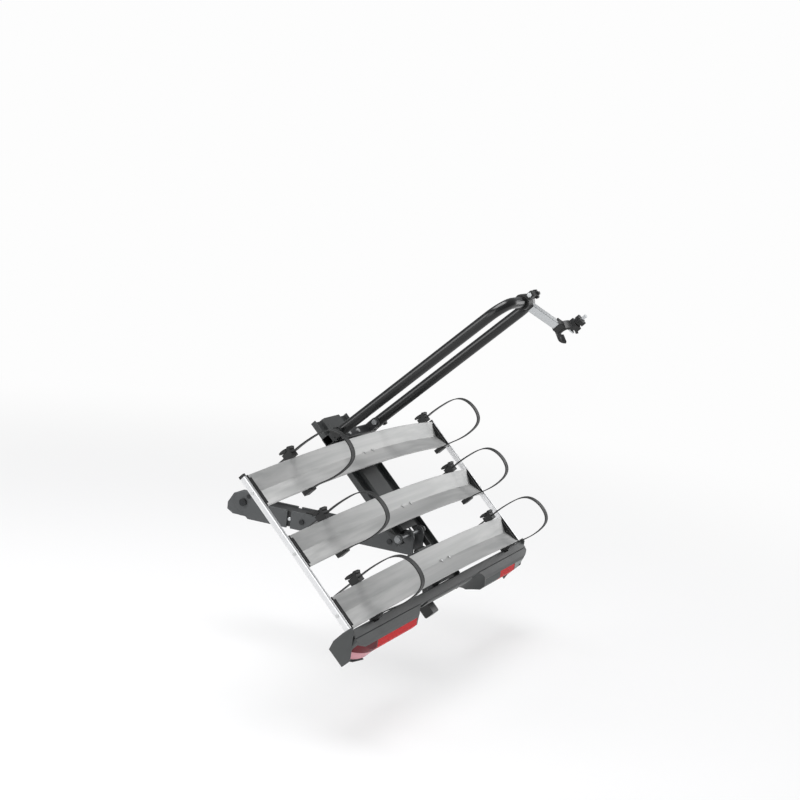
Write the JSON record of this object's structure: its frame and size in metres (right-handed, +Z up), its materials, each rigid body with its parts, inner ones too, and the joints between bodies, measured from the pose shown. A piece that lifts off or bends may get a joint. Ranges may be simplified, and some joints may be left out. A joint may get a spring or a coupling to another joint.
{
  "type": "tow ball bicycle carrier",
  "caption": "Folding bicycle carrier for a car's tow ball, tilted down on its hinge, with arched wheel trays, ratchet straps, a bow with a frame claw and a light board.",
  "frame": {"origin": "Centre of the tow ball in the coupling's socket.", "axes": "+X right seen from behind the car, +Y towards the car, +Z up; the swing arm lies level."},
  "size_m": [1.28, 1.0319, 1.0194],
  "materials": {
    "frame_black": "black powder coat, satin",
    "tray_grey": "extruded, satin",
    "arm_grey": "dark grey powder coat, satin",
    "cast_grey": "cast, blackened",
    "zinc": "zinc plated",
    "aluminium": "bright anodised",
    "plastic_black": "fine grained, matte",
    "strap_black": "soft plastic band with teeth",
    "rubber": "matte",
    "red_lens": "clear red plastic",
    "clear_lens": "clear plastic with a pink cast"
  },
  "bodies": {
    "arm": {"arm_tube": "frame_black", "arm_plate_left": "arm_grey", "arm_plate_right": "arm_grey", "arm_bolts": "zinc", "latch_pin": "zinc", "arm_buffers": "rubber", "hinge_axle": "zinc", "coupling_housing": "arm_grey"},
    "jaw": {"coupling_jaw": "cast_grey"},
    "lever": {"clamp_lever": "cast_grey", "lever_grip": "plastic_black"},
    "deck": {"centre_pan": "frame_black", "side_rail_left": "aluminium", "side_rail_right": "aluminium", "end_caps": "plastic_black", "tray_1": "tray_grey", "tray_2": "tray_grey", "tray_3": "tray_grey", "tray_saddles": "plastic_black", "deck_screws": "zinc", "tilt_stop": "rubber", "hinge_bushes": "plastic_black", "bow_crossbar": "frame_black", "bow_bolts": "zinc", "strap_1_left": "strap_black", "strap_1_right": "strap_black", "strap_2_left": "strap_black", "strap_2_right": "strap_black", "strap_3_left": "strap_black", "strap_3_right": "strap_black", "strap_clips": "plastic_black", "light_board": "plastic_black", "lamp_housings": "plastic_black", "red_lenses": "red_lens", "clear_lenses": "clear_lens", "plate_rail": "plastic_black", "pan_brackets": "frame_black", "hook_pin": "zinc"},
    "bow": {"bow": "frame_black"},
    "bow_knob_l": {"bow_knob_left": "plastic_black"},
    "bow_knob_r": {"bow_knob_right": "plastic_black"},
    "holder": {"holder_clamp": "plastic_black", "clamp_bolt": "zinc", "holder_bar": "aluminium", "claw": "plastic_black"},
    "clamp_knob": {"clamp_knob": "plastic_black"},
    "claw_screw": {"claw_screw": "zinc"},
    "claw_knob": {"claw_knob": "plastic_black"},
    "pedal": {"release_pedal": "frame_black", "pedal_cap": "plastic_black"},
    "rod": {"pull_rod": "zinc"},
    "hook": {"latch_hook": "zinc"},
    "buckle_1_left": {"buckle_lever_1_left": "plastic_black"},
    "buckle_1_right": {"buckle_lever_1_right": "plastic_black"},
    "buckle_2_left": {"buckle_lever_2_left": "plastic_black"},
    "buckle_2_right": {"buckle_lever_2_right": "plastic_black"},
    "buckle_3_left": {"buckle_lever_3_left": "plastic_black"},
    "buckle_3_right": {"buckle_lever_3_right": "plastic_black"}
  },
  "joints": [
    {"name": "deck_tilt", "type": "hinge", "parent": "arm", "child": "deck", "pos_m": [0, -0.6, 0.035], "axis": [1, 0, 0], "range_deg": [-44, 0]},
    {"name": "clamp_lever_lift", "type": "hinge", "parent": "arm", "child": "lever", "pos_m": [0, -0.044, 0.047], "axis": [1, 0, 0], "range_deg": [-70, 0]},
    {"name": "jaw_open", "type": "hinge", "parent": "arm", "child": "jaw", "pos_m": [0, -0.026, 0.025], "axis": [1, 0, 0], "range_deg": [-28.1, 0.1]},
    {"name": "bow_fold", "type": "hinge", "parent": "deck", "child": "bow", "pos_m": [0, -0.38488, 0.32615], "axis": [1, 0, 0], "range_deg": [0, 60]},
    {"name": "bow_knob_turn_left", "type": "hinge", "parent": "deck", "child": "bow_knob_l", "pos_m": [-0.152, -0.38488, 0.32615], "axis": [-1, 0, 0], "continuous": true},
    {"name": "bow_knob_turn_right", "type": "hinge", "parent": "deck", "child": "bow_knob_r", "pos_m": [0.152, -0.38488, 0.32615], "axis": [1, 0, 0], "continuous": true},
    {"name": "holder_swivel", "type": "hinge", "parent": "bow", "child": "holder", "pos_m": [0.027, -0.85202, 0.76945], "axis": [1, 0, 0], "range_deg": [-40, 40]},
    {"name": "clamp_knob_turn", "type": "hinge", "parent": "holder", "child": "clamp_knob", "pos_m": [0.051, -0.87494, 0.79319], "axis": [1, 0, 0], "continuous": true},
    {"name": "claw_knob_turn", "type": "hinge", "parent": "holder", "child": "claw_knob", "pos_m": [0.18381, -0.97488, 0.72031], "axis": [0, -0.6947, 0.7193], "continuous": true},
    {"name": "claw_pad_slide", "type": "slide", "parent": "holder", "child": "claw_screw", "axis": [0, 0.6947, -0.7193], "range_m": [0, 0.014]},
    {"name": "pedal_swing", "type": "hinge", "parent": "deck", "child": "pedal", "pos_m": [0, -0.65337, -0.10551], "axis": [1, 0, 0], "range_deg": [-16.54, 0]},
    {"name": "rod_slide", "type": "slide", "parent": "deck", "child": "rod", "axis": [0, 0.7193, 0.6947], "range_m": [-0.00002, 0.01044]},
    {"name": "hook_turn", "type": "hinge", "parent": "deck", "child": "hook", "pos_m": [0.044, -0.30822, 0.30148], "axis": [1, 0, 0], "range_deg": [-0.1, 30.1]},
    {"name": "buckle_lift_1_left", "type": "hinge", "parent": "deck", "child": "buckle_1_left", "pos_m": [-0.41, -0.37102, 0.31181], "axis": [1, 0, 0], "range_deg": [0, 70]},
    {"name": "buckle_lift_1_right", "type": "hinge", "parent": "deck", "child": "buckle_1_right", "pos_m": [0.54, -0.35873, 0.29908], "axis": [1, 0, 0], "range_deg": [0, 70]},
    {"name": "buckle_lift_2_left", "type": "hinge", "parent": "deck", "child": "buckle_2_left", "pos_m": [-0.448, -0.51165, 0.16952], "axis": [1, 0, 0], "range_deg": [0, 70]},
    {"name": "buckle_lift_2_right", "type": "hinge", "parent": "deck", "child": "buckle_2_right", "pos_m": [0.448, -0.51165, 0.16952], "axis": [1, 0, 0], "range_deg": [0, 70]},
    {"name": "buckle_lift_3_left", "type": "hinge", "parent": "deck", "child": "buckle_3_left", "pos_m": [-0.49, -0.6516, 0.02653], "axis": [1, 0, 0], "range_deg": [0, 70]},
    {"name": "buckle_lift_3_right", "type": "hinge", "parent": "deck", "child": "buckle_3_right", "pos_m": [0.486, -0.65199, 0.02693], "axis": [1, 0, 0], "range_deg": [0, 70]}
  ],
  "couplings": [
    {"joint": "jaw_open", "follows": "clamp_lever_lift", "ratio": 0.4},
    {"joint": "rod_slide", "follows": "pedal_swing", "m_per_rad": -0.036006},
    {"joint": "hook_turn", "follows": "pedal_swing", "ratio": -1.8141}
  ]
}
